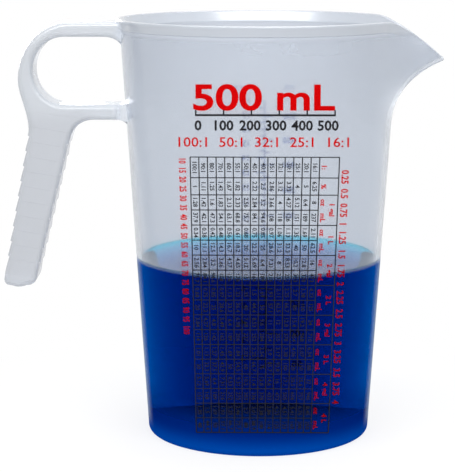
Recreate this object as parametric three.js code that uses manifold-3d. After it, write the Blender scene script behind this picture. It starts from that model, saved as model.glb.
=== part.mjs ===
// An oil mixing pitcher: a clear moulded cup with a beak spout, an open finger ring with a
// ribbed leg for a handle, a printed mixing chart, and a half load of blue fluid.
// Millimetres, +Z up. The origin is on the cup's axis in the plane that it stands on, with the
// spout towards +X, the handle towards -X and the chart towards -Y.

import * as THREE from 'three';
import { mergeVertices } from 'three/addons/utils/BufferGeometryUtils.js';
import Module from 'manifold-3d';

const wasm = await Module();
wasm.setup();

// Cup
const cupHeight = 140;
const baseRadius = 37.3;
const mouthRadius = 46.4;
const wallThickness = 1.6;
const floorThickness = 2.2;
const baseEdgeRadius = 2;
const floorFillet = 3;
const cupFacets = 80;

// Band round the rim
const bandHeight = 3.6;
const bandStep = 0.6;
const bandStepHeight = 0.3;
const rimFlare = 1.2;
const rimEdge = 0.5;

// Beak spout: the wall leaves the cup at its root, below the rim, and runs out to the tip
const spoutOverhang = 15.1;
const spoutTipDrop = 13.9;
const spoutRootDrop = 36;
const spoutBelly = 15;
const spoutHalfAngle = THREE.MathUtils.degToRad(34);
const spoutSharpness = 1.25;
const spoutPinch = 0.25;
const spoutLevels = 7;

// Handle: a flat bar bent into a finger ring, with a leg that hangs from its lower corner
const handleReach = 33.4;
const handleWidth = 15.5;
const handleEdge = 1.2;
const handleBelowRim = 1;
const barThickness = 5;
const fingerHoleHeight = 22.4;
const ringCorner = 17.8;
const ringShoulder = 19.5;
const holeCorner = 10.3;
const upperWeb = 6.5;
const lowerWeb = 3;
const webDepth = 1.2;
const neckInset = 3.2;
const neckDrop = 4.2;
const legLength = 56;
const legSplay = 9.4;
const legRootWidth = 13.7;
const legTipWidth = 10.9;
const legCorner = 3;
const legBulge = 1;
const armpitDrop = 7;
const armpitReach = 8.2;
const armpitWeb = 4.5;

// Grip ribs: saw-tooth steps down both edges of the leg
const ribCount = 9;
const ribPitch = 5.15;
const ribDepth = 0.6;
const ribStart = 6.2;

// Fluid
const fluidLevel = 59.7;
const fluidGap = 0.3;

// Print: ink laid out on a flat card in front of the cup, and thrown onto the wall from the
// place where a reader's eye would be, so that its rows look straight from there
const inkThickness = 0.1;
const inkGap = 0.1;
const readerDistance = 640;
const readerHeight = 176.6;
const ruleWidth = 0.35;

// Mixing chart: a grid of rules with a header column on the right and two header rows on top
const chartLeft = -21.4;
const chartWidth = 47;
const chartTop = 99.5;
const chartColumns = 15;
const chartHeaderWidth = 6.2;
const headerSeams = 3;
const chartHeaderRow = 6.5;
const chartPercentRow = 5.4;
const chartPairRows = 8;
const chartPairHeight = 9.57;

// Ruler line above the chart
const rulerLeft = -19.8;
const rulerWidth = 43.6;
const rulerHeight = 112.3;
const rulerTicks = 6;
const rulerTickHeight = 1.1;
const rulerSeams = 4;

// Measuring scale on the far wall: ounces on one side of a line, millilitres on the other
const scaleCentre = 2.1;
const scaleTop = 107.7;
const scaleBottom = 12;
const ounceStep = 2.78;
const ounceTick = 3;
const ounceHalfTick = 1.8;
const millilitreStep = 4.6;
const millilitreTick = 3.4;

const clearPlastic = new THREE.MeshStandardMaterial({
  color: 0xd3d9e0, roughness: 0.35, metalness: 0, transparent: true, opacity: 0.55,
});
const blueFluid = new THREE.MeshStandardMaterial({ color: 0x0a2f96, roughness: 0.15, metalness: 0 });
const blackInk = new THREE.MeshStandardMaterial({ color: 0x14141a, roughness: 0.6, metalness: 0 });
const blueInk = new THREE.MeshStandardMaterial({ color: 0x3f74b8, roughness: 0.6, metalness: 0 });

const wallRadius = (level) => baseRadius + ((mouthRadius - baseRadius) * level) / cupHeight;
const cavityRadius = (level) => wallRadius(level) - wallThickness;

// Solids

// A geometry with only its positions, its shared corners merged and its flat triangles dropped
function welded(geometry) {
  const bare = geometry.clone();
  for (const name of ['normal', 'uv']) bare.deleteAttribute(name);
  const merged = mergeVertices(bare, 1e-4);
  const corners = Array.from(merged.index.array);
  const kept = [];
  for (let i = 0; i < corners.length; i += 3) {
    const [a, b, c] = corners.slice(i, i + 3);
    if (a !== b && b !== c && c !== a) kept.push(a, b, c);
  }
  merged.setIndex(kept);
  return merged;
}

function toSolid(geometry) {
  const merged = welded(geometry);
  return new wasm.Manifold(new wasm.Mesh({
    numProp: 3,
    vertProperties: new Float32Array(merged.attributes.position.array),
    triVerts: new Uint32Array(merged.index.array),
  }));
}

function toGeometry(solid) {
  const { vertProperties, triVerts } = solid.getMesh();
  const geometry = new THREE.BufferGeometry();
  geometry.setAttribute('position', new THREE.BufferAttribute(vertProperties, 3));
  geometry.setIndex(new THREE.BufferAttribute(triVerts, 1));
  geometry.computeVertexNormals();
  return geometry;
}

function namedMesh(name, geometry, material) {
  const mesh = new THREE.Mesh(geometry, material);
  mesh.name = name;
  return mesh;
}

// A profile of [radius, height] corners turned about Z
function turned(corners) {
  const profile = corners.map(([radius, height]) => new THREE.Vector2(radius, height));
  return new THREE.LatheGeometry(profile, cupFacets).rotateX(Math.PI / 2);
}

// Corners of a quarter round about (radius, height), from one angle in degrees to the other
function quarterRound(radius, height, size, from, to, steps = 4) {
  return Array.from({ length: steps + 1 }, (_, i) => {
    const angle = THREE.MathUtils.degToRad(from + ((to - from) * i) / steps);
    return [radius + size * Math.cos(angle), height + size * Math.sin(angle)];
  });
}

// Cup

// Each corner of the wall is a level, a depth in from the outer face and a share of the rim's flare
function wallCorners() {
  const root = cupHeight - spoutRootDrop;
  const bandFoot = cupHeight - bandHeight;
  const levels = Array.from({ length: spoutLevels }, (_, i) => (
    root + ((bandFoot - root) * i) / (spoutLevels - 1)
  ));
  const outer = levels.map((level) => ({ level, depth: 0, flare: 0 }));
  const rim = [
    { level: bandFoot + bandStepHeight, depth: 0, flare: bandStep },
    { level: cupHeight - rimEdge, depth: 0, flare: rimFlare },
    { level: cupHeight, depth: rimEdge, flare: rimFlare },
    { level: cupHeight, depth: wallThickness - rimEdge, flare: rimFlare },
    { level: cupHeight - rimEdge, depth: wallThickness, flare: rimFlare },
  ];
  const inner = levels.map((level) => ({ level, depth: wallThickness, flare: 0 })).reverse();
  return [...outer, ...rim, ...inner];
}

// How far the beak has pulled the wall out at an angle from the spout's middle, from 0 to 1
function beakPull(angle) {
  const share = Math.min(Math.abs(angle) / spoutHalfAngle, 1);
  return Math.cos((share * Math.PI) / 2) ** (2 * spoutSharpness);
}

// The beak's middle line on its outer face, from the root to the tip
const beakRoot = cupHeight - spoutRootDrop;
const beakLine = new THREE.QuadraticBezierCurve(
  new THREE.Vector2(wallRadius(beakRoot), beakRoot),
  new THREE.Vector2(wallRadius(beakRoot + spoutBelly / 2), beakRoot + spoutBelly),
  new THREE.Vector2(mouthRadius + spoutOverhang, cupHeight - spoutTipDrop),
);

// A point of the outer face, which is plain cone away from the beak
function facePoint(angle, level) {
  const radius = wallRadius(level);
  const rise = THREE.MathUtils.clamp((level - beakRoot) / spoutRootDrop, 0, 1);
  const pull = beakPull(angle);
  const middle = beakLine.getPoint(rise);
  return new THREE.Vector3(
    radius * Math.cos(angle) + pull * (middle.x - radius),
    radius * Math.sin(angle) * (1 - spoutPinch * pull * rise),
    level + pull ** spoutSharpness * (middle.y - level),
  );
}

function faceNormal(angle, level) {
  const step = 1e-3;
  const low = Math.min(level, cupHeight - step);
  const across = facePoint(angle + step, low).sub(facePoint(angle - step, low));
  const up = facePoint(angle, low + step).sub(facePoint(angle, low));
  return across.cross(up).normalize();
}

// The place of a wall corner once the beak is formed: the rim's flare fades into the beak
function wallPoint(angle, { level, depth, flare }) {
  const pull = beakPull(angle);
  const fade = THREE.MathUtils.smoothstep(pull, 0, 0.3);
  const outward = new THREE.Vector3(Math.cos(angle), Math.sin(angle), 0);
  outward.lerp(faceNormal(angle, level), fade).normalize();
  return facePoint(angle, level).addScaledVector(outward, flare * (1 - fade) - depth);
}

function cupShell() {
  const wall = wallCorners();
  const foot = quarterRound(
    wallRadius(baseEdgeRadius) - baseEdgeRadius, baseEdgeRadius, baseEdgeRadius, -90, 0,
  );
  const filletTop = floorThickness + floorFillet;
  const floor = quarterRound(cavityRadius(filletTop) - floorFillet, filletTop, floorFillet, 0, -90);
  const below = [[0, 0], ...foot];
  const flat = wall.map(({ level, depth, flare }) => [wallRadius(level) - depth + flare, level]);
  const shell = turned([...below, ...flat, ...floor, [0, floorThickness]]);
  const place = shell.attributes.position;
  const rowLength = below.length + flat.length + floor.length + 1;
  for (let i = 0; i < place.count; i += 1) {
    const corner = wall[(i % rowLength) - below.length];
    const angle = Math.atan2(place.getY(i), place.getX(i));
    if (corner && beakPull(angle) > 1e-6) {
      const point = wallPoint(angle, corner);
      place.setXYZ(i, point.x, point.y, point.z);
    }
  }
  return toSolid(shell);
}

// The cup's inside, cut from the handle so that its roots end within the wall
function cupCavity() {
  const within = wallThickness * 0.25;
  const above = cupHeight + wallThickness;
  return toSolid(turned([
    [0, floorThickness],
    [cavityRadius(floorThickness) + within, floorThickness],
    [cavityRadius(cupHeight - bandHeight) + within, cupHeight - bandHeight],
    [cavityRadius(cupHeight) + rimFlare + within, cupHeight - rimEdge],
    [cavityRadius(cupHeight) + rimFlare + within, above],
    [0, above],
  ]));
}

// Handle, drawn in the XZ plane

const barTop = cupHeight - handleBelowRim;
const holeTop = barTop - barThickness;
const holeBottom = holeTop - fingerHoleHeight;
const barBottom = holeBottom - barThickness;
const ringLeft = -(mouthRadius + handleReach);
const neck = new THREE.Vector2(ringLeft + neckInset, barBottom - neckDrop);
const legTip = new THREE.Vector2(neck.x - legSplay, barBottom - legLength);

// The wall's line on the handle's side, a little within its outer face
const rootLine = (level) => webDepth - wallRadius(level);

function handleOutline() {
  const inside = 3 * handleEdge - cavityRadius(barBottom);
  const outerEdge = neck.clone().sub(legTip).normalize();
  const innerTip = new THREE.Vector2(legTip.x + legTipWidth, legTip.y);
  const innerRoot = new THREE.Vector2(neck.x + legRootWidth, barBottom - armpitDrop);
  const innerEdge = innerRoot.clone().sub(innerTip).normalize();
  const outerCorner = legTip.clone().addScaledVector(outerEdge, legCorner);
  const innerCorner = innerTip.clone().addScaledVector(innerEdge, legCorner);
  const outline = new THREE.Shape();
  outline.moveTo(inside, barTop);
  outline.lineTo(ringLeft + ringCorner, barTop);
  outline.absellipse(
    ringLeft + ringCorner, barTop - ringShoulder, ringCorner, ringShoulder, Math.PI / 2, Math.PI, false, 0,
  );
  outline.bezierCurveTo(
    ringLeft, holeBottom + neckInset, neck.x + outerEdge.x * neckDrop, barBottom + outerEdge.y, neck.x, neck.y,
  );
  outline.lineTo(outerCorner.x, outerCorner.y);
  outline.quadraticCurveTo(legTip.x, legTip.y, legTip.x + legCorner, legTip.y);
  outline.quadraticCurveTo(
    (legTip.x + innerTip.x) / 2, legTip.y - legBulge, innerTip.x - legCorner, innerTip.y,
  );
  outline.quadraticCurveTo(innerTip.x, innerTip.y, innerCorner.x, innerCorner.y);
  outline.lineTo(innerRoot.x, innerRoot.y);
  outline.quadraticCurveTo(
    innerRoot.x + armpitDrop / 4, barBottom, innerRoot.x + armpitReach, barBottom,
  );
  outline.lineTo(rootLine(barBottom) - armpitWeb, barBottom);
  outline.quadraticCurveTo(
    rootLine(barBottom), barBottom, rootLine(barBottom - armpitWeb), barBottom - armpitWeb,
  );
  outline.lineTo(inside, barBottom - armpitWeb);
  return outline;
}

function fingerHole() {
  const hole = new THREE.Path();
  const centre = ringLeft + barThickness + holeCorner;
  const middle = (holeTop + holeBottom) / 2;
  hole.moveTo(centre, holeBottom);
  hole.lineTo(rootLine(holeBottom) - lowerWeb, holeBottom);
  hole.quadraticCurveTo(
    rootLine(holeBottom), holeBottom, rootLine(holeBottom + lowerWeb), holeBottom + lowerWeb,
  );
  hole.lineTo(rootLine(holeTop - upperWeb), holeTop - upperWeb);
  hole.quadraticCurveTo(rootLine(holeTop), holeTop, rootLine(holeTop) - upperWeb, holeTop);
  hole.lineTo(centre, holeTop);
  hole.absellipse(centre, middle, holeCorner, fingerHoleHeight / 2, Math.PI / 2, 1.5 * Math.PI, false, 0);
  return hole;
}

// One step of the grip: a wedge that is deepest at its top and runs out at its foot
function ribWedge(edgeTop, edgeDown, inward, index) {
  const top = edgeTop.clone().addScaledVector(edgeDown, ribStart + index * ribPitch);
  const foot = top.clone().addScaledVector(edgeDown, ribPitch);
  const clear = handleWidth / 2;
  const wedge = new THREE.Shape([
    top.clone().addScaledVector(inward, ribDepth),
    foot,
    foot.clone().addScaledVector(inward, -clear),
    top.clone().addScaledVector(inward, -clear),
  ]);
  return acrossHandle(wedge, { depth: 2 * handleWidth, bevelEnabled: false });
}

// An outline in the XZ plane given its depth along Y, with its middle at Y 0
function acrossHandle(shape, options) {
  const geometry = new THREE.ExtrudeGeometry(shape, { steps: 1, ...options });
  geometry.translate(0, 0, -options.depth / 2);
  return toSolid(geometry.rotateX(Math.PI / 2));
}

function handleSolid() {
  const outline = handleOutline();
  outline.holes.push(fingerHole());
  let handle = acrossHandle(outline, {
    depth: handleWidth - 2 * handleEdge,
    curveSegments: 8,
    bevelSize: handleEdge,
    bevelOffset: -handleEdge,
    bevelThickness: handleEdge,
    bevelSegments: 3,
  });
  const innerTip = new THREE.Vector2(legTip.x + legTipWidth, legTip.y);
  const innerRoot = new THREE.Vector2(neck.x + legRootWidth, barBottom - armpitDrop);
  const outerDown = legTip.clone().sub(neck).normalize();
  const innerDown = innerTip.clone().sub(innerRoot).normalize();
  const toRight = new THREE.Vector2(-outerDown.y, outerDown.x);
  const toLeft = new THREE.Vector2(innerDown.y, -innerDown.x);
  for (let i = 0; i < ribCount; i += 1) {
    handle = handle.subtract(ribWedge(neck, outerDown, toRight, i - 1));
    handle = handle.subtract(ribWedge(innerRoot, innerDown, toLeft, i - 1));
  }
  return handle.subtract(cupCavity());
}

// Fluid, which fills the cup up to its level with a small gap to the wall

function fluidSolid() {
  const foot = floorThickness + fluidGap;
  const filletTop = foot + floorFillet;
  const fluidRadius = (level) => cavityRadius(level) - fluidGap;
  const fillet = quarterRound(fluidRadius(filletTop) - floorFillet, filletTop, floorFillet, -90, 0);
  return turned([[0, foot], ...fillet, [fluidRadius(fluidLevel), fluidLevel], [0, fluidLevel]]);
}

// Print

// The point where the line from the reader's eye through (x, z) on the card meets a cone that
// stands off from the cup's wall. The card touches the mouth at the front, and side is -1
// there. For the far wall, side is 1 and the card stands at the back.
function thrownOnWall(x, z, standOff, side) {
  const eye = new THREE.Vector3(0, -readerDistance, readerHeight);
  const way = new THREE.Vector3(x, side * mouthRadius, z).sub(eye);
  const taper = (mouthRadius - baseRadius) / cupHeight;
  const radiusAtEye = baseRadius + standOff + taper * eye.z;
  const a = way.x ** 2 + way.y ** 2 - (taper * way.z) ** 2;
  const b = eye.y * way.y - taper * way.z * radiusAtEye;
  const c = eye.y ** 2 - radiusAtEye ** 2;
  const share = (-b + side * Math.sqrt(b * b - a * c)) / a;
  return eye.addScaledVector(way, share);
}

// A skin of ink on the wall. The layout on the card is a grid of cells with its lines at xs and
// zs, and the inked cells are closed on every side where no inked cell adjoins them.
function inkSkin(xs, zs, isInked, side) {
  const positions = [inkGap, inkGap + inkThickness].flatMap((standOff) => (
    zs.flatMap((z) => xs.flatMap((x) => thrownOnWall(x, z, standOff, side).toArray()))
  ));
  const corner = (i, j, layer) => (layer * zs.length + j) * xs.length + i;
  const inked = (i, j) => i >= 0 && j >= 0 && i < xs.length - 1 && j < zs.length - 1 && isInked(i, j);
  const triangles = [];
  const addFace = (...corners) => {
    const [a, b, c, d] = side < 0 ? corners : corners.reverse();
    triangles.push(a, b, c, a, c, d);
  };
  for (let i = 0; i < xs.length - 1; i += 1) {
    for (let j = 0; j < zs.length - 1; j += 1) {
      if (!inked(i, j)) continue;
      const [nearLow, nearLowRight] = [corner(i, j, 1), corner(i + 1, j, 1)];
      const [nearTop, nearTopRight] = [corner(i, j + 1, 1), corner(i + 1, j + 1, 1)];
      const [wallLow, wallLowRight] = [corner(i, j, 0), corner(i + 1, j, 0)];
      const [wallTop, wallTopRight] = [corner(i, j + 1, 0), corner(i + 1, j + 1, 0)];
      addFace(nearLow, nearLowRight, nearTopRight, nearTop);
      addFace(wallLow, wallTop, wallTopRight, wallLowRight);
      if (!inked(i, j - 1)) addFace(wallLow, wallLowRight, nearLowRight, nearLow);
      if (!inked(i, j + 1)) addFace(nearTop, nearTopRight, wallTopRight, wallTop);
      if (!inked(i - 1, j)) addFace(nearLow, nearTop, wallTop, wallLow);
      if (!inked(i + 1, j)) addFace(wallLowRight, wallTopRight, nearTopRight, nearLowRight);
    }
  }
  const skin = new THREE.BufferGeometry();
  skin.setAttribute('position', new THREE.Float32BufferAttribute(positions, 3));
  skin.setIndex(triangles);
  return welded(skin);
}

// Places from one end on, a step apart
const spread = (first, step, count) => Array.from({ length: count }, (_, i) => first + i * step);

// Grid lines at both edges of each rule, and at the seams between rules that lie far apart
function gridLines(rules, seams = []) {
  const edges = rules.flatMap((place) => [place - ruleWidth / 2, place + ruleWidth / 2]);
  return [...new Set([...edges, ...seams])].sort((low, high) => low - high);
}

// Which rule covers a cell between two neighbouring grid lines, or -1
const ruleOver = (rules, lines, i) => (
  rules.findIndex((place) => Math.abs(place - (lines[i] + lines[i + 1]) / 2) < ruleWidth / 2)
);

// The chart's grid: rules between its columns and between its pairs of rows
function chartGrid() {
  const columnWidth = (chartWidth - chartHeaderWidth) / chartColumns;
  const headerLeft = chartLeft + chartWidth - chartHeaderWidth;
  const columnRules = [...spread(chartLeft, columnWidth, chartColumns + 1), chartLeft + chartWidth];
  const pairsTop = chartTop - chartHeaderRow - chartPercentRow;
  const pairRules = spread(pairsTop, -chartPairHeight, chartPairRows + 1);
  const rowRules = [chartTop, chartTop - chartHeaderRow, ...pairRules];
  const seamStep = chartHeaderWidth / headerSeams;
  const xs = gridLines(columnRules, spread(headerLeft + seamStep, seamStep, headerSeams - 1));
  const zs = gridLines(rowRules);
  const isInked = (i, j) => ruleOver(columnRules, xs, i) >= 0 || ruleOver(rowRules, zs, j) >= 0;
  return inkSkin(xs, zs, isInked, -1);
}

// A straight rule with ticks that rise from it, in pieces short enough to follow the wall
function rulerLine() {
  const tickStep = rulerWidth / (rulerTicks - 1);
  const seamStep = tickStep / rulerSeams;
  const ticks = spread(rulerLeft, tickStep, rulerTicks);
  const seams = ticks.slice(0, -1).flatMap((tick) => spread(tick + seamStep, seamStep, rulerSeams - 1));
  const xs = gridLines(ticks, seams);
  const zs = [...gridLines([rulerHeight]), rulerHeight + rulerTickHeight];
  return inkSkin(xs, zs, (i, j) => j === 0 || ruleOver(ticks, xs, i) >= 0, -1);
}

// One upright line with ticks to both sides: every other ounce tick on the left is a short one
function scaleMarks() {
  const tickPlaces = (step) => spread(scaleTop, -step, Math.floor((scaleTop - scaleBottom) / step));
  const ounces = tickPlaces(ounceStep);
  const millilitres = tickPlaces(millilitreStep);
  const zs = gridLines([...ounces, ...millilitres], [scaleBottom]);
  const xs = gridLines([scaleCentre], [
    scaleCentre - ounceTick, scaleCentre - ounceHalfTick, scaleCentre + millilitreTick,
  ]);
  const isInked = (i, j) => {
    if (ruleOver([scaleCentre], xs, i) >= 0) return true;
    if (xs[i] > scaleCentre) return ruleOver(millilitres, zs, j) >= 0;
    const ounce = ruleOver(ounces, zs, j);
    return ounce >= 0 && (xs[i] >= scaleCentre - ounceHalfTick || ounce % 2 === 0);
  };
  return inkSkin(xs, zs, isInked, 1);
}

const pitcher = new THREE.Group();
pitcher.add(
  namedMesh('pitcher', toGeometry(cupShell().add(handleSolid())), clearPlastic),
  namedMesh('fluid', welded(fluidSolid()), blueFluid),
  namedMesh('chart_grid', chartGrid(), blackInk),
  namedMesh('ruler_line', rulerLine(), blackInk),
  namedMesh('scale_marks', scaleMarks(), blueInk),
);

export default pitcher;
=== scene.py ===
"""Looks of the oil mixing pitcher: milky clear jug, blue fluid, printed chart and scale."""

import math

import bmesh
import bpy
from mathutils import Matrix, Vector


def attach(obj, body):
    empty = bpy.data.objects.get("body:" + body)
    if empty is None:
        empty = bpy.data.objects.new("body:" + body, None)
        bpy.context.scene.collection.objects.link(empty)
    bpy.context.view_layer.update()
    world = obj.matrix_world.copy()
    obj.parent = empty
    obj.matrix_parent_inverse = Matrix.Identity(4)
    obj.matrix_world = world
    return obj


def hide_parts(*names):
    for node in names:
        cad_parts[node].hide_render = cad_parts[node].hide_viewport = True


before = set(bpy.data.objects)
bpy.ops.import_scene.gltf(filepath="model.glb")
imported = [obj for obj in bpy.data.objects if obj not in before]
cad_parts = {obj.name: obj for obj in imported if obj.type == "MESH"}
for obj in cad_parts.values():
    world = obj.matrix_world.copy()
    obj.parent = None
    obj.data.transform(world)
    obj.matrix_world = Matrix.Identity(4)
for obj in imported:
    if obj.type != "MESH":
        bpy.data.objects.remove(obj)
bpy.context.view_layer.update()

MM = 0.001

# Cup, in metres
HEIGHT = 0.140
BASE_RADIUS = 0.0373
MOUTH_RADIUS = 0.0464
WALL = 0.0016
FLOOR = 0.0022
BASE_EDGE = 0.002
FLOOR_FILLET = 0.003
BAND_HEIGHT = 0.0036
BAND_STEP = 0.0006
BAND_STEP_HEIGHT = 0.0003
RIM_FLARE = 0.0012
RIM_EDGE = 0.0005
FACETS = 192

# Beak
SPOUT_OVERHANG = 0.0151
SPOUT_TIP_DROP = 0.0139
SPOUT_ROOT_DROP = 0.036
SPOUT_BELLY = 0.015
SPOUT_HALF_ANGLE = math.radians(34)
SPOUT_SHARPNESS = 1.25
SPOUT_PINCH = 0.25

# Handle
HANDLE_WIDTH = 0.0155
HANDLE_EDGE = 0.0012
SOFT_EDGE = 0.0019
BAR_TOP = HEIGHT - 0.001
HOLE_TOP = BAR_TOP - 0.005
HOLE_BOTTOM = HOLE_TOP - 0.0224
BAR_BOTTOM = HOLE_BOTTOM - 0.005
RING_LEFT = -(MOUTH_RADIUS + 0.0334)
RING_CORNER = 0.0178
RING_SHOULDER = 0.0195
HOLE_CORNER = 0.0103
UPPER_WEB = 0.0065
LOWER_WEB = 0.003
WEB_DEPTH = 0.0012
NECK = Vector((RING_LEFT + 0.0032, BAR_BOTTOM - 0.0042))
LEG_TIP = Vector((NECK.x - 0.0094, BAR_BOTTOM - 0.056))
LEG_TIP_WIDTH = 0.0109
LEG_CORNER = 0.003
LEG_BULGE = 0.001
INNER_TIP = Vector((LEG_TIP.x + LEG_TIP_WIDTH, LEG_TIP.y))
INNER_ROOT = Vector((NECK.x + 0.0137, BAR_BOTTOM - 0.007))
ARMPIT_REACH = 0.0082
ARMPIT_DROP = 0.007
ARMPIT_WEB = 0.0045
RIB_COUNT = 9
RIB_PITCH = 0.00515
RIB_DEPTH = 0.0006
RIB_START = 0.0062

# Fluid
FLUID_LEVEL = 0.0597
MENISCUS = 0.0007

# Levels between which the wall's looks change
CLOUDING = (0.098, 0.132)
RIM_CLOUDING = (0.1345, 0.137)
RIM_GLOSS = (0.1362, 0.1375)
# Levels over which the painted blue light on the wetted wall near its foot fades out
PAINTED_FOOT_GLOW = (0.006, 0.022)

# The place that the print was drawn from, so that it lies on the wall where it is read
READER = Vector((0, -0.640, 0.1766))
INK_GAP = 0.00011
INK_THICKNESS = 0.00005

# Camera and floor
CAMERA_LENS = 146.6
CAMERA_DOWN = 9.75
CAMERA_TURN = 0.94
FLOOR_DROP = 0.00005


def wall_radius(level):
    return BASE_RADIUS + (MOUTH_RADIUS - BASE_RADIUS) * level / HEIGHT


def cavity_radius(level):
    return wall_radius(level) - WALL


def smooth_share(value, low, high):
    share = min(max((value - low) / (high - low), 0), 1)
    return share * share * (3 - 2 * share)


# Modelling helpers

def settle(obj):
    """Takes a piece out of edit mode, puts its place in its mesh and leaves nothing selected."""
    if bpy.context.mode != "OBJECT":
        bpy.ops.object.mode_set(mode="OBJECT")
    bpy.ops.object.select_all(action="DESELECT")
    obj.select_set(True)
    bpy.context.view_layer.objects.active = obj
    bpy.ops.object.transform_apply(location=True, rotation=True, scale=True)
    bpy.ops.object.select_all(action="DESELECT")
    return obj


def edit(obj, kind="FACE"):
    if bpy.context.mode != "OBJECT":
        bpy.ops.object.mode_set(mode="OBJECT")
    bpy.ops.object.select_all(action="DESELECT")
    obj.select_set(True)
    bpy.context.view_layer.objects.active = obj
    bpy.ops.object.mode_set(mode="EDIT")
    bpy.ops.mesh.select_mode(type=kind)
    bpy.ops.mesh.select_all(action="DESELECT")


def choose_faces(obj, test):
    mesh = bmesh.from_edit_mesh(obj.data)
    for face in mesh.faces:
        face.select_set(test(face))
    mesh.select_flush_mode()
    bmesh.update_edit_mesh(obj.data)


def choose_edges(obj, test):
    mesh = bmesh.from_edit_mesh(obj.data)
    for edge in mesh.edges:
        edge.select_set(test(edge.verts[0].co, edge.verts[1].co))
    mesh.select_flush_mode()
    bmesh.update_edit_mesh(obj.data)


def level_edge(level, least, most):
    """Picks the ring of edges at one level, between two radii."""
    def test(a, b):
        radii = (a.xy.length, b.xy.length)
        flat = abs(a.z - level) < 1e-6 and abs(b.z - level) < 1e-6
        return flat and all(least < radius < most for radius in radii)
    return test


def cut_levels(levels):
    for level in levels:
        bpy.ops.mesh.select_all(action="SELECT")
        bpy.ops.mesh.bisect(plane_co=(0, 0, level), plane_no=(0, 0, 1))


def tidy_mesh(obj, distance=1e-6):
    edit(obj, "VERT")
    bpy.ops.mesh.select_all(action="SELECT")
    bpy.ops.mesh.remove_doubles(threshold=distance)
    bpy.ops.mesh.normals_make_consistent(inside=False)
    bpy.ops.object.mode_set(mode="OBJECT")
    bpy.ops.object.select_all(action="DESELECT")


def boolean(obj, cutter, operation):
    modifier = obj.modifiers.new(operation.lower(), "BOOLEAN")
    modifier.operation = operation
    modifier.solver = "EXACT"
    modifier.object = cutter
    bpy.context.view_layer.objects.active = obj
    bpy.ops.object.modifier_apply(modifier=modifier.name)
    bpy.data.objects.remove(cutter)


def smooth(obj, angle):
    bpy.ops.object.select_all(action="DESELECT")
    obj.select_set(True)
    bpy.context.view_layer.objects.active = obj
    bpy.ops.object.shade_smooth_by_angle(angle=math.radians(angle))
    modifier = obj.modifiers.new("even_shading", "WEIGHTED_NORMAL")
    modifier.keep_sharp = True
    bpy.ops.object.modifier_apply(modifier=modifier.name)
    bpy.ops.object.select_all(action="DESELECT")


# Cup

def beak_pull(angle):
    share = min(abs(angle) / SPOUT_HALF_ANGLE, 1)
    return max(math.cos(share * math.pi / 2), 0) ** (2 * SPOUT_SHARPNESS)


BEAK_ROOT = HEIGHT - SPOUT_ROOT_DROP
BEAK_LINE = (
    Vector((wall_radius(BEAK_ROOT), BEAK_ROOT)),
    Vector((wall_radius(BEAK_ROOT + SPOUT_BELLY / 2), BEAK_ROOT + SPOUT_BELLY)),
    Vector((MOUTH_RADIUS + SPOUT_OVERHANG, HEIGHT - SPOUT_TIP_DROP)),
)


def quadratic(a, b, c, t):
    return a * (1 - t) ** 2 + b * 2 * t * (1 - t) + c * t ** 2


def cubic(a, b, c, d, t):
    return a * (1 - t) ** 3 + b * 3 * t * (1 - t) ** 2 + c * 3 * t * t * (1 - t) + d * t ** 3


def face_point(angle, level):
    radius = wall_radius(level)
    rise = min(max((level - BEAK_ROOT) / SPOUT_ROOT_DROP, 0), 1)
    pull = beak_pull(angle)
    middle = quadratic(*BEAK_LINE, rise)
    return Vector((
        radius * math.cos(angle) + pull * (middle.x - radius),
        radius * math.sin(angle) * (1 - SPOUT_PINCH * pull * rise),
        level + pull ** SPOUT_SHARPNESS * (middle.y - level),
    ))


def face_normal(angle, level):
    low = min(level, HEIGHT - 1e-6)
    across = face_point(angle + 1e-3, low) - face_point(angle - 1e-3, low)
    up = face_point(angle, low + 1e-6) - face_point(angle, low)
    return across.cross(up).normalized()


def rim_flare(level):
    """How far the band round the rim stands out from the plain cone at a level."""
    foot = HEIGHT - BAND_HEIGHT
    if level <= foot:
        return 0
    if level <= foot + BAND_STEP_HEIGHT:
        return BAND_STEP * (level - foot) / BAND_STEP_HEIGHT
    share = (level - foot - BAND_STEP_HEIGHT) / (BAND_HEIGHT - BAND_STEP_HEIGHT - RIM_EDGE)
    return BAND_STEP + (RIM_FLARE - BAND_STEP) * min(share, 1)


def wall_point(angle, level, depth):
    pull = beak_pull(angle)
    fade = smooth_share(pull, 0, 0.3)
    radial = Vector((math.cos(angle), math.sin(angle), 0))
    outward = radial.lerp(face_normal(angle, level), fade).normalized()
    flare = rim_flare(level)
    if depth > WALL / 2:
        share = (level - HEIGHT + BAND_HEIGHT) / (BAND_HEIGHT - RIM_EDGE)
        flare = RIM_FLARE * min(max(share, 0), 1)
    return face_point(angle, level) + outward * (flare * (1 - fade) - depth)


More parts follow.
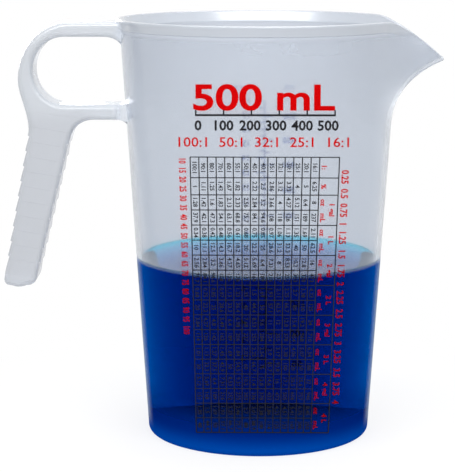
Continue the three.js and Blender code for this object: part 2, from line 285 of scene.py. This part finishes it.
def make_cup():
    bpy.ops.mesh.primitive_cylinder_add(
        vertices=FACETS, radius=BASE_RADIUS, depth=HEIGHT, location=(0, 0, HEIGHT / 2),
    )
    cup = settle(bpy.context.object)
    cup.name = "pitcher_body"
    edit(cup)
    choose_faces(cup, lambda face: face.normal.z > 0.9)
    taper = MOUTH_RADIUS / BASE_RADIUS
    bpy.ops.transform.resize(value=(taper, taper, 1))
    mouth = MOUTH_RADIUS - WALL
    bpy.ops.mesh.inset(thickness=WALL)
    bpy.ops.mesh.extrude_region_move(
        TRANSFORM_OT_translate={"value": (0, 0, FLOOR - HEIGHT)},
    )
    narrow = cavity_radius(FLOOR) / mouth
    bpy.ops.transform.resize(value=(narrow, narrow, 1))
    bpy.ops.mesh.select_mode(type="EDGE")
    choose_edges(cup, level_edge(FLOOR, 0.03, 0.05))
    bpy.ops.mesh.bevel(offset=FLOOR_FILLET, segments=6, affect="EDGES")
    choose_edges(cup, level_edge(0, 0.03, 0.05))
    bpy.ops.mesh.bevel(offset=BASE_EDGE, segments=6, affect="EDGES")
    choose_edges(cup, level_edge(HEIGHT, 0.03, 0.05))
    bpy.ops.mesh.bevel(offset=RIM_EDGE, segments=3, affect="EDGES")
    foot = HEIGHT - BAND_HEIGHT
    rises = [BEAK_ROOT + (foot - BEAK_ROOT) * i / 24 for i in range(25)]
    band = [foot + BAND_STEP_HEIGHT * share for share in (0.5, 1, 2, 4, 6, 8)]
    cut_levels([0.03, 0.06, 0.085] + rises + band)
    bpy.ops.object.mode_set(mode="OBJECT")
    for vertex in cup.data.vertices:
        level = vertex.co.z
        if level >= BEAK_ROOT - 1e-6:
            angle = math.atan2(vertex.co.y, vertex.co.x)
            depth = wall_radius(level) - vertex.co.xy.length
            vertex.co = wall_point(angle, level, depth)
    tidy_mesh(cup, 1e-7)
    return cup


# Handle, drawn in the XZ plane

def root_line(level):
    return WEB_DEPTH - wall_radius(level)


def curve_points(kind, *controls, steps=10):
    return [kind(*controls, i / steps) for i in range(1, steps + 1)]


def ellipse_points(centre, radii, start, end, steps):
    angles = [math.radians(start + (end - start) * i / steps) for i in range(steps + 1)]
    return [
        Vector((centre[0] + radii[0] * math.cos(a), centre[1] + radii[1] * math.sin(a)))
        for a in angles
    ]


def handle_outline():
    inside = 3 * HANDLE_EDGE - cavity_radius(BAR_BOTTOM)
    outer_edge = (NECK - LEG_TIP).normalized()
    inner_edge = (INNER_ROOT - INNER_TIP).normalized()
    outer_corner = LEG_TIP + outer_edge * LEG_CORNER
    inner_corner = INNER_TIP + inner_edge * LEG_CORNER
    points = [Vector((inside, BAR_TOP))]
    points += ellipse_points(
        (RING_LEFT + RING_CORNER, BAR_TOP - RING_SHOULDER),
        (RING_CORNER, RING_SHOULDER), 90, 180, 28,
    )
    points += curve_points(
        cubic, points[-1], Vector((RING_LEFT, HOLE_BOTTOM + 0.0032)),
        Vector((NECK.x + outer_edge.x * 0.0042, BAR_BOTTOM + outer_edge.y * MM)), NECK, steps=14,
    )
    points.append(outer_corner)
    end = Vector((LEG_TIP.x + LEG_CORNER, LEG_TIP.y))
    points += curve_points(quadratic, outer_corner, LEG_TIP, end, steps=6)
    far = Vector((INNER_TIP.x - LEG_CORNER, INNER_TIP.y))
    bulge = Vector(((LEG_TIP.x + INNER_TIP.x) / 2, LEG_TIP.y - LEG_BULGE))
    points += curve_points(quadratic, end, bulge, far, steps=6)
    points += curve_points(quadratic, far, INNER_TIP, inner_corner, steps=6)
    points.append(INNER_ROOT)
    arm = Vector((INNER_ROOT.x + ARMPIT_REACH, BAR_BOTTOM))
    bend = Vector((INNER_ROOT.x + ARMPIT_DROP / 4, BAR_BOTTOM))
    points += curve_points(quadratic, INNER_ROOT, bend, arm)
    points.append(Vector((root_line(BAR_BOTTOM) - ARMPIT_WEB, BAR_BOTTOM)))
    low = BAR_BOTTOM - ARMPIT_WEB
    points += curve_points(
        quadratic, points[-1], Vector((root_line(BAR_BOTTOM), BAR_BOTTOM)),
        Vector((root_line(low), low)), steps=8,
    )
    points.append(Vector((inside, low)))
    return points


def finger_hole():
    centre = RING_LEFT + 0.005 + HOLE_CORNER
    middle = (HOLE_TOP + HOLE_BOTTOM) / 2
    points = [Vector((root_line(HOLE_BOTTOM) - LOWER_WEB, HOLE_BOTTOM))]
    up = HOLE_BOTTOM + LOWER_WEB
    points += curve_points(
        quadratic, points[0], Vector((root_line(HOLE_BOTTOM), HOLE_BOTTOM)),
        Vector((root_line(up), up)), steps=8,
    )
    down = HOLE_TOP - UPPER_WEB
    points.append(Vector((root_line(down), down)))
    points += curve_points(
        quadratic, points[-1], Vector((root_line(HOLE_TOP), HOLE_TOP)),
        Vector((root_line(HOLE_TOP) - UPPER_WEB, HOLE_TOP)), steps=12,
    )
    half = (HOLE_TOP - HOLE_BOTTOM) / 2
    return points + ellipse_points((centre, middle), (HOLE_CORNER, half), 90, 270, 36)


def moulded_profile(name, loops, width, edge):
    """A flat outline given its width along Y, with rounded edges."""
    curve = bpy.data.curves.new(name, "CURVE")
    curve.dimensions = "2D"
    curve.fill_mode = "BOTH"
    for loop in loops:
        spline = curve.splines.new("POLY")
        spline.points.add(len(loop) - 1)
        for point, place in zip(spline.points, loop):
            point.co = (place.x, place.y, 0, 1)
        spline.use_cyclic_u = True
    curve.offset = -edge
    curve.bevel_depth = edge
    curve.bevel_resolution = 4
    curve.extrude = width / 2 - edge
    piece = bpy.data.objects.new(name, curve)
    bpy.context.scene.collection.objects.link(piece)
    piece.rotation_euler = (math.pi / 2, 0, 0)
    piece.select_set(True)
    bpy.context.view_layer.objects.active = piece
    bpy.ops.object.convert(target="MESH")
    piece = settle(bpy.context.object)
    tidy_mesh(piece)
    return piece


def rib_cutter(top_edge, down, inward, which):
    """Every second wedge of the saw-tooth grip along one edge of the leg, as one cutter."""
    corners = []
    faces = []
    across = HANDLE_WIDTH
    clear = HANDLE_WIDTH / 2
    for i in range(which, RIB_COUNT, 2):
        top = top_edge + down * (RIB_START + (i - 1) * RIB_PITCH)
        foot = top + down * RIB_PITCH
        ring = (top + inward * RIB_DEPTH, foot, foot - inward * clear, top - inward * clear)
        start = len(corners)
        corners += [(p.x, -across, p.y) for p in ring] + [(p.x, across, p.y) for p in ring]
        faces += [tuple(start + k for k in (0, 1, 2, 3)), tuple(start + k for k in (7, 6, 5, 4))]
        for k in range(4):
            after = (k + 1) % 4
            faces.append((start + after, start + k, start + k + 4, start + after + 4))
    mesh = bpy.data.meshes.new("rib_cutter")
    mesh.from_pydata(corners, [], faces)
    cutter = bpy.data.objects.new("rib_cutter", mesh)
    bpy.context.scene.collection.objects.link(cutter)
    tidy_mesh(cutter)
    return cutter


def cavity_cutter():
    within = WALL / 4
    foot = HEIGHT - BAND_HEIGHT
    bpy.ops.mesh.primitive_cone_add(
        vertices=FACETS, radius1=cavity_radius(0.06) + within,
        radius2=cavity_radius(foot) + within, depth=foot - 0.06,
        location=(0, 0, (foot + 0.06) / 2),
    )
    cutter = settle(bpy.context.object)
    edit(cutter)
    choose_faces(cutter, lambda face: face.normal.z > 0.9)
    for rise, flare in ((BAND_HEIGHT - RIM_EDGE, RIM_FLARE), (0.01, 0)):
        bpy.ops.mesh.extrude_region_move(TRANSFORM_OT_translate={"value": (0, 0, rise)})
        wider = 1 + flare / cavity_radius(foot)
        bpy.ops.transform.resize(value=(wider, wider, 1))
    bpy.ops.object.mode_set(mode="OBJECT")
    bpy.ops.object.select_all(action="DESELECT")
    return cutter


def make_handle():
    loops = [handle_outline(), finger_hole()]
    handle = moulded_profile("handle", loops, HANDLE_WIDTH, SOFT_EDGE)
    outer_down = (LEG_TIP - NECK).normalized()
    inner_down = (INNER_TIP - INNER_ROOT).normalized()
    to_right = Vector((-outer_down.y, outer_down.x))
    to_left = Vector((inner_down.y, -inner_down.x))
    for which in (0, 1):
        boolean(handle, rib_cutter(NECK, outer_down, to_right, which), "DIFFERENCE")
        boolean(handle, rib_cutter(INNER_ROOT, inner_down, to_left, which), "DIFFERENCE")
    boolean(handle, cavity_cutter(), "DIFFERENCE")
    return handle


def make_pitcher():
    cup = make_cup()
    handle = make_handle()
    boolean(cup, handle, "UNION")
    tidy_mesh(cup)
    smooth(cup, 32)
    return cup


# Fluid, which touches the wall all round and climbs it a little

def make_fluid():
    touch = 0.00015
    bottom = FLOOR + 0.0001
    top = FLUID_LEVEL + MENISCUS
    bpy.ops.mesh.primitive_cone_add(
        vertices=FACETS, radius1=cavity_radius(bottom) + touch,
        radius2=cavity_radius(top) + touch, depth=top - bottom,
        location=(0, 0, (top + bottom) / 2),
    )
    fluid = settle(bpy.context.object)
    fluid.name = "fluid_body"
    edit(fluid)
    choose_faces(fluid, lambda face: face.normal.z > 0.9)
    for inward, down in ((0.3, 0.25), (0.5, 0.25), (0.9, 0.15), (1.6, 0.05)):
        bpy.ops.mesh.inset(thickness=inward * MM, depth=-down * MM)
    for inward in (5, 10, 10):
        bpy.ops.mesh.inset(thickness=inward * MM)
    bpy.ops.mesh.select_mode(type="EDGE")
    choose_edges(fluid, level_edge(bottom, 0.03, 0.05))
    bpy.ops.mesh.bevel(offset=FLOOR_FILLET, segments=6, affect="EDGES")
    tidy_mesh(fluid, 1e-7)
    smooth(fluid, 50)
    return fluid


# Print: drawn flat on a card that touches the wall, then thrown on the wall

def thrown(x, z, stand_off, side):
    way = Vector((x, side * MOUTH_RADIUS, z)) - READER
    taper = (MOUTH_RADIUS - BASE_RADIUS) / HEIGHT
    radius = BASE_RADIUS + stand_off + taper * READER.z
    a = way.x ** 2 + way.y ** 2 - (taper * way.z) ** 2
    b = READER.y * way.y - taper * way.z * radius
    c = READER.y ** 2 - radius ** 2
    share = (-b + side * math.sqrt(b * b - a * c)) / a
    return READER + way * share


def drawn_in(x, z):
    """The chart and the columns beside it narrow downwards with the cup."""
    down = CHART_TOP - z
    middle = DRAWN_MIDDLE - DRAWN_DRIFT * down
    return middle + (x - CHART_MIDDLE) * (DRAWN_SHARE - DRAWN_NARROWING * down)


class Print:
    """One colour of ink on one side of the wall, gathered as one piece."""

    def __init__(self, name, side):
        self.name = name
        self.side = side
        self.places = []
        self.faces = []

    def add(self, corners, faces):
        start = len(self.places)
        for x, z, lift in corners:
            if self.side < 0 and z < CHART_TOP + 0.5:
                x = drawn_in(x, z)
            stand_off = INK_GAP + lift * INK_THICKNESS
            self.places.append(thrown(x * MM, z * MM, stand_off, self.side))
        self.faces += [tuple(start + i for i in face) for face in faces]

    def rule(self, x0, z0, x1, z1, width, step=1.5):
        """A ruled line from one place on the card to another, in millimetres."""
        way = Vector((x1 - x0, z1 - z0))
        count = max(int(way.length / step), 1)
        half = Vector((-way.y, way.x)).normalized() * width / 2
        corners = []
        for i in range(count + 1):
            middle = Vector((x0, z0)) + way * (i / count)
            for lift in (0, 1):
                for edge in (-1, 1):
                    corners.append((middle.x + edge * half.x, middle.y + edge * half.y, lift))
        faces = [(0, 1, 3, 2), tuple(4 * count + k for k in (2, 3, 1, 0))]
        for i in range(count):
            now = 4 * i
            after = now + 4
            for a, b in ((0, 1), (1, 3), (3, 2), (2, 0)):
                faces.append((now + a, after + a, after + b, now + b))
        self.add(corners, faces)

    def figures(self, text, x, z, height, wide=1.0, bold=0.0, turn=False, fit=None, anchor=0.5,
                fine=2):
        """Figures whose anchor share of their length is at x, z; turned ones read downwards."""
        places, faces, low, high, foot, tall = figure_mesh(text, bold, fine)
        scale = height / tall
        along = fit / (high - low) if fit else scale * wide
        corners = []
        for px, py, lift in places:
            s = (px - low - anchor * (high - low)) * along
            t = (py - foot) * scale - height / 2
            if turn:
                corners.append((x + t, z - s, lift))
            else:
                corners.append((x - self.side * s, z + t, lift))
        self.add(corners, faces)

    def finish(self):
        mesh = bpy.data.meshes.new(self.name)
        mesh.from_pydata([tuple(p) for p in self.places], [], self.faces)
        piece = bpy.data.objects.new(self.name, mesh)
        bpy.context.scene.collection.objects.link(piece)
        tidy_mesh(piece, 1e-8)
        return piece


figure_store = {}


def figure_mesh(text, bold, fine):
    """A string of figures as a thin closed mesh, one unit in size, modelled once and kept."""
    key = (text, bold, fine)
    if key not in figure_store:
        bpy.ops.object.select_all(action="DESELECT")
        bpy.ops.object.text_add()
        label = bpy.context.object
        label.data.body = text
        label.data.size = 1
        label.data.resolution_u = fine
        label.data.offset = bold
        label.data.extrude = 0.5
        bpy.ops.object.convert(target="MESH")
        label = bpy.context.object
        tidy_mesh(label)
        edit(label, "VERT")
        width = label.dimensions.x
        for i in range(1, int(width / 0.35)):
            bpy.ops.mesh.select_all(action="SELECT")
            bpy.ops.mesh.bisect(plane_co=(0.35 * i, 0, 0), plane_no=(1, 0, 0))
        bpy.ops.object.mode_set(mode="OBJECT")
        places = [(v.co.x, v.co.y, 1 if v.co.z > 0 else 0) for v in label.data.vertices]
        faces = [tuple(face.vertices) for face in label.data.polygons]
        xs = [place[0] for place in places]
        ys = [place[1] for place in places]
        bpy.data.objects.remove(label)
        foot, top = min(ys), max(ys)
        if text != "0":
            foot, top = figure_mesh("0", bold, fine)[4:]
            top += foot
        figure_store[key] = (places, faces, min(xs), max(xs), foot, top - foot)
    return figure_store[key]


# Chart, ruler and scale: places on the card, in millimetres

RATIOS = (100, 90, 80, 70, 60, 55, 50, 45, 40, 35, 32, 30, 25, 20, 16)
CHART_LEFT = -21.4
CHART_RIGHT = 25.6
HEADER_LEFT = 19.4
CHART_TOP = 99.5
ROW_TOPS = [CHART_TOP, 93.0, 87.6]
ROW_TOPS += [87.6 - 4.785 * i for i in range(1, 17)]
COLUMN = (HEADER_LEFT - CHART_LEFT) / len(RATIOS)
CHART_MIDDLE = 2.1
DRAWN_MIDDLE = 1.87
DRAWN_DRIFT = 0.0058
DRAWN_SHARE = 0.99
DRAWN_NARROWING = 0.00107
RULER_LEFT = -19.8
RULER_RIGHT = 23.8
RULER_FOOT = 112.3
RULER_WEIGHT = 0.6
SCALE_LINE = 2.1
SCALE_TOP = 107.7
SCALE_FOOT = 12
OUNCE = 29.57


def chart_figure(value):
    digits = 2 if value < 10 else 1 if value < 100 else 0
    text = f"{value:.{digits}f}"
    return text.rstrip("0").rstrip(".") if "." in text else text


def chart_rows():
    rows = [[f"{ratio}:1" for ratio in RATIOS], [chart_figure(100 / ratio) for ratio in RATIOS]]
    for times in (1, 2, 3, 4):
        for ounces, millilitres in ((128, 3785), (33.81, 1000)):
            rows.append([chart_figure(times * ounces / ratio) for ratio in RATIOS])
            rows.append([chart_figure(times * millilitres / ratio) for ratio in RATIOS])
    return rows


def make_chart_lines():
    ink = Print("chart_lines", -1)
    for i in range(len(RATIOS) + 1):
        x = CHART_LEFT + COLUMN * i
        ink.rule(x, CHART_TOP, x, ROW_TOPS[-1], 0.34, 6)
    ink.rule(CHART_RIGHT, CHART_TOP, CHART_RIGHT, ROW_TOPS[-1], 0.34, 6)
    for i, z in enumerate(ROW_TOPS):
        pair = i < 3 or i % 2 == 0
        ink.rule(CHART_LEFT, z, CHART_RIGHT if pair else HEADER_LEFT, z, 0.3)
    return ink.finish()


def make_chart_figures():
    ink = Print("chart_figures", -1)
    for row, top, bottom in zip(chart_rows(), ROW_TOPS, ROW_TOPS[1:]):
        for i, text in enumerate(row):
            x = CHART_LEFT + COLUMN * (i + 0.5)
            height = 1.5 if len(text) < 6 else 1.4
            room = top - bottom - 0.7
            wide = min(0.92, room / (0.55 * height * len(text)))
            ink.figures(text, x, (top + bottom) / 2, height, wide=wide, bold=0.02, turn=True)
    return ink.finish()


def make_ruler():
    ink = Print("ruler_rule", -1)
    level = RULER_FOOT + 0.3
    ink.rule(RULER_LEFT, level, RULER_RIGHT, level, RULER_WEIGHT)
    for i in range(6):
        x = RULER_LEFT + 0.2 + (RULER_RIGHT - RULER_LEFT - 0.4) * i / 5
        ink.rule(x, level, x, RULER_FOOT + 1.9, 0.45, 0.8)
    return ink.finish()


def make_ruler_figures():
    ink = Print("ruler_figures", -1)
    for i in range(6):
        x = -18.9 + 40.4 * i / 5
        ink.figures(str(100 * i), x, 109.4, 3.3, wide=1.02, bold=0.025)
    return ink.finish()


def make_red_figures():
    ink = Print("red_figures", -1)
    ink.figures("500 mL", 1.6, 118.1, 8.3, bold=0.022, fit=44, fine=8)
    ink.figures("100:1  50:1  32:1  25:1  16:1", 1.5, 104.2, 3.1, bold=0.008, fit=53)
    left = "  ".join(str(5 * i) for i in range(2, 21))
    right = "  ".join(chart_figure(0.25 * i) for i in range(1, 17))
    ink.figures(left, -23.9, 99, 2.3, bold=0.03, turn=True, fit=56, anchor=0)
    ink.figures(right, 27.6, 95.5, 2.4, bold=0.025, turn=True, fit=75, anchor=0)
    marks = ["1:", "%"] + ["oz", "mL"] * 8
    for mark, top, bottom in zip(marks, ROW_TOPS, ROW_TOPS[1:]):
        ink.figures(mark, 20.9, (top + bottom) / 2, 1.7, bold=0.03, turn=True)
    for i in range(8):
        middle = (ROW_TOPS[2 + 2 * i] + ROW_TOPS[4 + 2 * i]) / 2
        text = f"{i // 2 + 1} {'L' if i % 2 else 'gal'}"
        ink.figures(text, 23.8, middle, 1.8, bold=0.03, turn=True)
    return ink.finish()


def make_measure():
    ink = Print("measure_scale", 1)
    ink.rule(SCALE_LINE, SCALE_FOOT, SCALE_LINE, SCALE_TOP, 0.35, 6)
    ink.figures("mL", 10.5, 112.9, 2.6, bold=0.02)
    ink.figures("oz", -7.5, 112.9, 2.6, bold=0.02)
    inside = [(0, 0.0)]
    level = FLOOR
    volume = 0.0
    layer = 0.0002
    while level < HEIGHT - 0.002:
        volume += math.pi * cavity_radius(level) ** 2 * layer * 1e6
        level += layer
        inside.append((volume, level * 1000))

    def height_of(amount):
        for (v0, z0), (v1, z1) in zip(inside, inside[1:]):
            if v1 >= amount:
                return z0 + (z1 - z0) * (amount - v0) / (v1 - v0)
        return inside[-1][1]

    card = SCALE_TOP / height_of(18 * OUNCE)
    for i in range(2, 37):
        z = card * height_of(i * OUNCE / 2)
        if z > SCALE_FOOT:
            ink.rule(SCALE_LINE, z, SCALE_LINE - (1.8 if i % 2 else 3), z, 0.35, 0.9)
        if z > SCALE_FOOT and i % 2 == 0:
            ink.figures(str(i // 2), -3.6, z, 2.3, bold=0.02, anchor=0)
    for i in range(2, 21):
        z = card * height_of(25 * i)
        ink.rule(SCALE_LINE, z, SCALE_LINE + (3.4 if i % 2 == 0 else 2), z, 0.35, 0.9)
        if i % 2 == 0:
            ink.figures(str(25 * i), 11, z, 2.3, bold=0.02)
    return ink.finish()


# Finishes

class Value:
    """A socket that takes part in plain Python sums, each sum adding its Math node."""

    def __init__(self, finish, socket):
        self.finish = finish
        self.socket = socket

    def _sum(self, operation, a, b):
        return self.finish.node("ShaderNodeMath", {"operation": operation}, {0: a, 1: b})

    def __add__(self, other):
        return self._sum("ADD", self, other)

    def __radd__(self, other):
        return self._sum("ADD", other, self)

    def __sub__(self, other):
        return self._sum("SUBTRACT", self, other)

    def __rsub__(self, other):
        return self._sum("SUBTRACT", other, self)

    def __mul__(self, other):
        return self._sum("MULTIPLY", self, other)

    def __rmul__(self, other):
        return self._sum("MULTIPLY", other, self)

    def power(self, other):
        return self._sum("POWER", self, other)

    def most(self, other):
        return self._sum("MAXIMUM", self, other)

    def ramp(self, low, high):
        """0 below low, 1 above high, smooth between."""
        return self.finish.node(
            "ShaderNodeMapRange", {"interpolation_type": "SMOOTHSTEP"},
            {"Value": self, "From Min": low, "From Max": high},
        )


class Finish:
    """A material built node by node."""

    def __init__(self, name, tree=None):
        if tree is None:
            self.material = bpy.data.materials.new(name)
            self.material.use_nodes = True
            tree = self.material.node_tree
        self.tree = tree
        self.tree.nodes.clear()

    def node(self, kind, settings=None, inputs=None, output=0):
        node = self.tree.nodes.new(kind)
        for key, value in (settings or {}).items():
            setattr(node, key, value)
        for key, value in (inputs or {}).items():
            socket = node.inputs[key]
            if isinstance(value, Value):
                self.tree.links.new(value.socket, socket)
            else:
                socket.default_value = value
        return Value(self, node.outputs[output])

    def place(self):
        """The object's own coordinates, and their three parts."""
        where = self.node("ShaderNodeTexCoord", output="Object")
        parts = [self.node("ShaderNodeSeparateXYZ", inputs={0: where}, output=i) for i in range(3)]
        return where, parts

    def light_path(self, kind):
        return self.node("ShaderNodeLightPath", output=kind)

    def looked_at(self):
        """1 where the camera looks, also in a gloss or through glass."""
        share = self.light_path("Is Camera Ray").most(self.light_path("Is Glossy Ray"))
        return share.most(self.light_path("Is Transmission Ray"))

    def noise(self, where, scale, detail):
        return self.node("ShaderNodeTexNoise", inputs={
            "Vector": where, "Scale": scale, "Detail": detail, "Roughness": 0.5,
        })

    def bump(self, height, distance):
        return self.node("ShaderNodeBump", inputs={
            "Height": height, "Distance": distance, "Strength": 1.0,
        })

    def mix_colour(self, share, a, b):
        return self.node("ShaderNodeMix", {"data_type": "RGBA"}, {0: share, 6: a, 7: b}, output=2)

    def mix(self, share, a, b):
        return self.node("ShaderNodeMixShader", inputs={0: share, 1: a, 2: b})

    def done(self, surface, volume=None):
        out = self.tree.nodes.new("ShaderNodeOutputMaterial")
        self.tree.links.new(surface.socket, out.inputs["Surface"])
        if volume:
            self.tree.links.new(volume.socket, out.inputs["Volume"])
        return self.material


def clear_plastic():
    """Milky above the fluid, clear where the fluid wets it, with painted blue light on the wall
    towards its base.
    """
    finish = Finish("milky_polypropylene")
    where, (x, y, z) = finish.place()
    cloud = finish.noise(where, 40, 3)
    grain = finish.noise(where, 900, 2)
    handle = (0.0 - x).ramp(0.0455, 0.0485)
    leg = (0.0 - x).ramp(0.052, 0.058) * (0.0 - z).ramp(-0.112, -0.104)
    grip_pitch = 0.0051
    ladder = z * (1 / grip_pitch) + x * 33
    steps = finish.node("ShaderNodeMath", {"operation": "FRACT"}, {0: ladder})
    height = cloud * 0.25 + grain * 0.008 + leg * steps * 0.35
    normal = finish.bump(height, 0.0004)
    dry = z.ramp(FLUID_LEVEL - 0.0005, FLUID_LEVEL + 0.0007).most(handle)
    pale = finish.mix_colour(cloud, (0.475, 0.505, 0.555, 1), (0.505, 0.535, 0.585, 1))
    grip = finish.mix_colour(leg, (0.50, 0.52, 0.55, 1), (0.455, 0.47, 0.50, 1))
    pale = finish.mix_colour(handle, pale, grip)
    # Painted light: a blue that is brighter towards the foot, standing in for light from the floor
    # coming up through the fluid
    painted_foot_light = finish.mix_colour(z.ramp(0.0, 0.008), (0.0, 0.062, 0.36, 1), (0.0, 0.016, 0.17, 1))
    milk = finish.node("ShaderNodeBsdfPrincipled", inputs={
        "Base Color": pale, "Roughness": 0.16 + cloud * 0.06, "IOR": 1.55, "Normal": normal,
        "Coat Weight": z.ramp(*RIM_GLOSS), "Coat Roughness": 0.12,
    })
    # A plain blue surface carrying that painted light, used in place of the fluid seen through the
    # wall
    glow = finish.node("ShaderNodeBsdfPrincipled", inputs={
        "Base Color": painted_foot_light, "Roughness": 0.5, "Specular IOR Level": 0.0,
    })
    clear = finish.node("ShaderNodeBsdfPrincipled", inputs={
        "Base Color": (0.765, 0.795, 0.84, 1), "Roughness": 0.1 + cloud * 0.06, "IOR": 1.15,
        "Transmission Weight": 1.0, "Normal": normal,
    })
    wetted = finish.node("ShaderNodeBsdfRefraction", inputs={
        "Color": (0.93, 0.95, 0.975, 1), "Roughness": 0.05, "IOR": 1.045,
    })
    cloudy = 0.1 + z.ramp(*CLOUDING) * 0.28 + z.ramp(*RIM_CLOUDING) * 0.4
    above = finish.mix(handle * 0.68 + (1 - handle) * cloudy, clear, milk)
    radius = (x * x + y * y).power(0.5) - z * ((MOUTH_RADIUS - BASE_RADIUS) / HEIGHT)
    skin = radius.ramp(BASE_RADIUS - 0.0009, BASE_RADIUS - 0.0007).most(1 - z.ramp(0.0018, 0.002))
    front = 1 - finish.node("ShaderNodeNewGeometry", output="Backfacing")
    # Near the foot the front of the wetted outer wall shows the painted blue light instead of the
    # fluid behind it
    below = finish.mix((1 - z.ramp(*PAINTED_FOOT_GLOW)) * skin * front, wetted, glow)
    sheen = finish.node("ShaderNodeBsdfAnisotropic", inputs={
        "Color": (0.32, 0.38, 0.50, 1), "Roughness": 0.2,
    })
    grazing = finish.node("ShaderNodeLayerWeight", output="Facing").ramp(0.7, 1.0)
    below = finish.mix(grazing * skin * front * z.ramp(0.002, 0.008), below, sheen)
    body = finish.mix(dry, below, above)
    through = finish.node("ShaderNodeBsdfTransparent", inputs={"Color": (0.9, 0.92, 0.94, 1)})
    return finish.done(finish.mix(finish.light_path("Is Shadow Ray"), body, through))


def blue_fluid():
    finish = Finish("blue_mix")
    where, (_, _, z) = finish.place()
    ripple = finish.noise(where, 60, 2)
    normal = finish.bump(ripple, 0.0002)
    sides = finish.node("ShaderNodeBsdfRefraction", inputs={
        "Color": (0.0, 0.85, 0.94, 1), "Roughness": 0.03, "IOR": 1.12, "Normal": normal,
    })
    mirror = finish.node("ShaderNodeBsdfPrincipled", inputs={
        "Base Color": (0.1, 0.8, 0.9, 1), "Roughness": 0.04 + ripple * 0.03, "IOR": 1.24,
        "Transmission Weight": 1.0, "Normal": normal,
    })
    pale = finish.node("ShaderNodeBsdfPrincipled", inputs={
        "Base Color": (0.04, 0.24, 0.48, 1), "Roughness": 0.1 + ripple * 0.1, "IOR": 1.33,
        "Normal": normal,
    })
    top = z.ramp(FLUID_LEVEL - 0.0007, FLUID_LEVEL - 0.0001)
    surface = finish.mix(top, sides, finish.mix(0.12, mirror, pale))
    through = finish.node("ShaderNodeBsdfTransparent", inputs={"Color": (0.35, 0.5, 0.85, 1)})
    depth = finish.node("ShaderNodeVolumeAbsorption", inputs={
        "Color": (0.0, 0.50, 0.79, 1), "Density": 125.0,
    })
    body = finish.mix(finish.light_path("Is Shadow Ray"), surface, through)
    return finish.done(body, depth)


def printed_ink(name, colour, glow, cover):
    """Screen-printed ink: a thin coat that lets a share of the light behind it through."""
    finish = Finish(name)
    where, _ = finish.place()
    grain = finish.noise(where, 1500, 2)
    paler = tuple(min(c * 1.25 + 0.004, 1) for c in colour[:3]) + (1,)
    coat = finish.node("ShaderNodeBsdfPrincipled", inputs={
        "Base Color": finish.mix_colour(grain, colour, paler), "Roughness": 0.4 + grain * 0.2,
        "Specular IOR Level": 0.12, "Normal": finish.bump(grain, 0.00002),
    })
    if cover >= 1:
        return finish.done(coat)
    film = finish.node("ShaderNodeBsdfTransparent", inputs={"Color": glow})
    return finish.done(finish.mix(cover, film, coat))


def give(piece, finish):
    piece.data.materials.clear()
    piece.data.materials.append(finish)


# Pieces

pitcher = make_pitcher()
fluid = make_fluid()
chart_lines = make_chart_lines()
chart_figures = make_chart_figures()
ruler = make_ruler()
ruler_figures = make_ruler_figures()
red_figures = make_red_figures()
measure = make_measure()

black = printed_ink("black_print", (0.006, 0.006, 0.008, 1), (0, 0, 0, 1), 1.0)
red = printed_ink("red_print", (0.66, 0.0, 0.003, 1), (1, 0.0, 0.008, 1), 0.2)
blue = printed_ink("blue_print", (0.008, 0.07, 0.30, 1), (0.1, 0.35, 0.8, 1), 1.0)

for piece, finish, slot in (
    (pitcher, clear_plastic(), "clear_plastic"),
    (fluid, blue_fluid(), "blue_fluid"),
    (chart_lines, black, "black_ink"),
    (chart_figures, black, "black_ink"),
    (ruler, black, "black_ink"),
    (ruler_figures, black, "black_ink"),
    (red_figures, red, "black_ink"),
    (measure, blue, "blue_ink"),
):
    give(piece, finish)
    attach(piece, "root")
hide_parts("pitcher")
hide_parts("fluid")
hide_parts("chart_grid")
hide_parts("ruler_line")
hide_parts("scale_marks")


# Studio: white floor and surround, soft lamps

def studio():
    bpy.ops.mesh.primitive_plane_add(size=8, location=(0, 0, -FLOOR_DROP))
    floor = bpy.context.object
    floor.name = "studio_floor"
    finish = Finish("white_floor")
    seen = finish.looked_at()
    _, (x, y, _) = finish.place()
    apart = (x * x + y * y).power(0.5).ramp(0.05, 0.14)
    paint = finish.node("ShaderNodeBsdfDiffuse", inputs={"Color": (0.82, 0.82, 0.82, 1)})
    white = finish.node("ShaderNodeEmission", inputs={"Color": (1, 1, 1, 1), "Strength": 1.0})
    give(floor, finish.done(finish.mix(seen * (0.74 + apart * 0.26), paint, white)))

    world = bpy.data.worlds.new("surround")
    bpy.context.scene.world = world
    world.use_nodes = True
    sky = Finish("surround", world.node_tree)
    seen = sky.looked_at()
    soft = sky.node("ShaderNodeBackground", inputs={"Color": (1, 1, 1, 1), "Strength": 0.28})
    white = sky.node("ShaderNodeBackground", inputs={"Color": (1, 1, 1, 1), "Strength": 1.0})
    out = sky.tree.nodes.new("ShaderNodeOutputWorld")
    sky.tree.links.new(sky.mix(seen, soft, white).socket, out.inputs["Surface"])

    lamps = (
        ("key", (-0.05, -0.62, 0.78), (2.0, 0.3), 13.8),
        ("top", (0.1, 0.1, 0.9), (0.7, 0.7), 4.0),
        ("rear", (-0.45, 1.1, 0.21), (0.62, 0.16), 4.0),
    )
    for name, place, size, power in lamps:
        data = bpy.data.lights.new(name, "AREA")
        data.shape = "RECTANGLE"
        data.size, data.size_y = size
        data.energy = power
        lamp = bpy.data.objects.new(name, data)
        bpy.context.scene.collection.objects.link(lamp)
        lamp.location = place
        aim = Vector((0, 0, 0.07)) - Vector(place)
        lamp.rotation_euler = aim.to_track_quat("-Z", "Y").to_euler()
        lamp.visible_camera = False
        lamp.visible_transmission = False

    data = bpy.data.cameras.new("camera")
    data.sensor_width = 36
    data.lens = CAMERA_LENS
    camera = bpy.data.objects.new("camera", data)
    bpy.context.scene.collection.objects.link(camera)
    camera.location = READER
    camera.rotation_euler = (math.radians(90 - CAMERA_DOWN), 0, math.radians(CAMERA_TURN))
    bpy.context.scene.camera = camera
    bpy.context.scene.view_settings.view_transform = "Standard"


studio()
